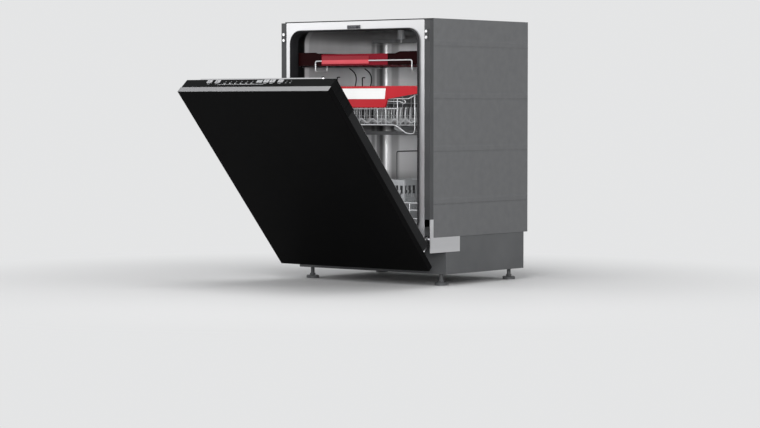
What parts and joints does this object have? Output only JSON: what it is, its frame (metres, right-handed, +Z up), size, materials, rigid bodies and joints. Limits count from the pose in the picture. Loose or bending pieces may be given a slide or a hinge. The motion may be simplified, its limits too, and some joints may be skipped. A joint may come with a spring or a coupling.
{
  "type": "built-in dishwasher",
  "caption": "Built-in dishwasher with a furniture front, its door part open, with wire racks, a cutlery tray, spray arms, a sump and pumps, and adjustable feet.",
  "frame": {"origin": "floor level, middle of the width, front face of the tub's frame", "axes": "+X to the right seen from the front, +Y to the back of the machine, +Z up"},
  "size_m": [0.597, 0.9811, 0.815],
  "materials": {
    "stainless": "satin",
    "plated_steel": "satin",
    "casing_steel": "matt",
    "door_steel": "satin",
    "post_dark": "matt",
    "gasket_rubber": "matt",
    "front_black": "gloss",
    "housing_black": "satin",
    "key_grey": "satin",
    "window_clear": "gloss",
    "base_grey": "matt",
    "grey_plastic": "satin",
    "white_plastic": "satin",
    "red_plastic": "satin",
    "tray_red": "satin",
    "coated_wire": "satin",
    "grip_red": "gloss",
    "pump_metal": "satin"
  },
  "bodies": {
    "cabinet": {"tub_shell": "stainless", "tub_floor": "stainless", "front_frame": "stainless", "tub_gasket": "gasket_rubber", "side_posts": "post_dark", "case_screws": "plated_steel", "outer_casing": "casing_steel", "base_tray": "base_grey", "hinge_brackets": "plated_steel", "door_strike": "stainless", "sump": "grey_plastic", "filter_plate": "stainless", "circulation_pump": "pump_metal", "drain_pump": "pump_metal", "softener": "white_plastic", "rear_connectors": "grey_plastic", "feed_pipe": "grey_plastic", "basket_rails": "plated_steel", "tray_rails": "plated_steel"},
    "door": {"front_panel": "front_black", "door_outer": "door_steel", "door_liner": "stainless", "control_housing": "housing_black", "display_window": "window_clear", "dispenser_body": "grey_plastic", "hinge_arms": "plated_steel"},
    "latch": {"latch_hook": "housing_black"},
    "detergent_lid": {"dispenser_lid": "grey_plastic"},
    "rinse_plug": {"rinse_cap": "red_plastic"},
    "power_key": {"key_power": "key_grey"},
    "program_key": {"key_program": "key_grey"},
    "delay_key": {"key_delay": "key_grey"},
    "options_key": {"key_options": "key_grey"},
    "start_key": {"key_start": "key_grey"},
    "filter": {"filter_cylinder": "grey_plastic"},
    "salt_plug": {"salt_cap": "white_plastic"},
    "float": {"float_cap": "grey_plastic"},
    "lower_arm": {"lower_spray_arm": "grey_plastic"},
    "middle_arm": {"mid_spray_arm": "grey_plastic"},
    "ceiling_arm": {"ceiling_spray_arm": "grey_plastic"},
    "upper_rack": {"upper_basket": "coated_wire", "basket_rim": "red_plastic", "handle_insert": "white_plastic", "basket_conduit": "grey_plastic", "rail_slides": "plated_steel"},
    "cup_rack": {"cup_shelf": "coated_wire"},
    "levers": {"height_levers": "white_plastic"},
    "lower_rack": {"lower_basket": "coated_wire"},
    "front_wheels": {"wheels_front": "grey_plastic"},
    "rear_wheels": {"wheels_rear": "grey_plastic"},
    "folding_tines": {"plate_tines": "coated_wire"},
    "cutlery_box": {"cutlery_basket": "grey_plastic"},
    "bail": {"basket_bail": "coated_wire"},
    "tray": {"cutlery_tray": "tray_red", "tray_handle": "grip_red", "tray_wire": "coated_wire"},
    "foot_a": {"foot_front_left": "base_grey"},
    "foot_b": {"foot_front_right": "base_grey"},
    "foot_c": {"foot_rear_left": "base_grey"},
    "foot_d": {"foot_rear_right": "base_grey"}
  },
  "joints": [
    {"name": "door_swing", "type": "hinge", "parent": "cabinet", "child": "door", "pos_m": [0, 0.014, 0.146], "axis": [1, 0, 0], "range_deg": [-41, 49]},
    {"name": "latch_turn", "type": "hinge", "parent": "door", "child": "latch", "pos_m": [0, -0.42915, 0.59024], "axis": [1, 0, 0], "range_deg": [0, 10], "stiffness_Nm_per_rad": 0.5},
    {"name": "lid_swing", "type": "hinge", "parent": "door", "child": "detergent_lid", "pos_m": [0, -0.23075, 0.41674], "axis": [1, 0, 0], "range_deg": [0, 90]},
    {"name": "rinse_turn", "type": "hinge", "parent": "door", "child": "rinse_plug", "pos_m": [0.083, -0.20782, 0.37983], "axis": [0, 0.7547, 0.6561], "range_deg": [0, 90]},
    {"name": "power_press", "type": "slide", "parent": "door", "child": "power_key", "axis": [0, 0.6561, -0.7547], "range_m": [0, 0.001], "stiffness_N_per_m": 300},
    {"name": "program_press", "type": "slide", "parent": "door", "child": "program_key", "axis": [0, 0.6561, -0.7547], "range_m": [0, 0.001], "stiffness_N_per_m": 300},
    {"name": "delay_press", "type": "slide", "parent": "door", "child": "delay_key", "axis": [0, 0.6561, -0.7547], "range_m": [0, 0.001], "stiffness_N_per_m": 300},
    {"name": "options_press", "type": "slide", "parent": "door", "child": "options_key", "axis": [0, 0.6561, -0.7547], "range_m": [0, 0.001], "stiffness_N_per_m": 300},
    {"name": "start_press", "type": "slide", "parent": "door", "child": "start_key", "axis": [0, 0.6561, -0.7547], "range_m": [0, 0.001], "stiffness_N_per_m": 300},
    {"name": "filter_turn", "type": "hinge", "parent": "cabinet", "child": "filter", "pos_m": [0.075, 0.18, 0.152], "axis": [0, 0, 1], "range_deg": [0, 90]},
    {"name": "salt_turn", "type": "hinge", "parent": "cabinet", "child": "salt_plug", "pos_m": [-0.165, 0.33, 0.156], "axis": [0, 0, 1], "range_deg": [0, 180]},
    {"name": "float_lift", "type": "slide", "parent": "cabinet", "child": "float", "axis": [0, 0, 1], "range_m": [0, 0.003]},
    {"name": "lower_arm_spin", "type": "hinge", "parent": "cabinet", "child": "lower_arm", "pos_m": [0, 0.235, 0.17], "axis": [0, 0, 1], "continuous": true},
    {"name": "ceiling_arm_spin", "type": "hinge", "parent": "cabinet", "child": "ceiling_arm", "pos_m": [0, 0.235, 0.755], "axis": [0, 0, 1], "continuous": true},
    {"name": "upper_rack_slide", "type": "slide", "parent": "cabinet", "child": "upper_rack", "axis": [0, -1, 0], "range_m": [0, 0.28]},
    {"name": "middle_arm_spin", "type": "hinge", "parent": "upper_rack", "child": "middle_arm", "pos_m": [0, 0.235, 0.464], "axis": [0, 0, 1], "continuous": true},
    {"name": "cup_rack_fold", "type": "hinge", "parent": "upper_rack", "child": "cup_rack", "pos_m": [-0.231, 0.235, 0.605], "axis": [0, 1, 0], "range_deg": [0, 80]},
    {"name": "lever_press", "type": "slide", "parent": "upper_rack", "child": "levers", "axis": [0, 0, -1], "range_m": [0, 0.008], "stiffness_N_per_m": 100},
    {"name": "lower_rack_slide", "type": "slide", "parent": "cabinet", "child": "lower_rack", "axis": [0, -1, 0], "range_m": [0, 0.035]},
    {"name": "front_wheel_spin", "type": "hinge", "parent": "lower_rack", "child": "front_wheels", "pos_m": [0, 0.105, 0.1698], "axis": [1, 0, 0], "continuous": true},
    {"name": "rear_wheel_spin", "type": "hinge", "parent": "lower_rack", "child": "rear_wheels", "pos_m": [0, 0.395, 0.1698], "axis": [1, 0, 0], "continuous": true},
    {"name": "tines_fold", "type": "hinge", "parent": "lower_rack", "child": "folding_tines", "pos_m": [-0.096, 0.3, 0.1985], "axis": [1, 0, 0], "range_deg": [0, 80]},
    {"name": "cutlery_lift", "type": "slide", "parent": "lower_rack", "child": "cutlery_box", "axis": [0, 0, 1], "range_m": [0, 0.06]},
    {"name": "bail_swing", "type": "hinge", "parent": "cutlery_box", "child": "bail", "pos_m": [0.102, 0.14, 0.3173], "axis": [0, 1, 0], "range_deg": [0, 80]},
    {"name": "tray_slide", "type": "slide", "parent": "cabinet", "child": "tray", "axis": [0, -1, 0], "range_m": [0, 0.3]},
    {"name": "foot_a_level", "type": "slide", "parent": "cabinet", "child": "foot_a", "axis": [0, 0, 1], "range_m": [-0.04, 0]},
    {"name": "foot_b_level", "type": "slide", "parent": "cabinet", "child": "foot_b", "axis": [0, 0, 1], "range_m": [-0.04, 0]},
    {"name": "foot_c_level", "type": "slide", "parent": "cabinet", "child": "foot_c", "axis": [0, 0, 1], "range_m": [-0.04, 0]},
    {"name": "foot_d_level", "type": "slide", "parent": "cabinet", "child": "foot_d", "axis": [0, 0, 1], "range_m": [-0.04, 0]}
  ]
}
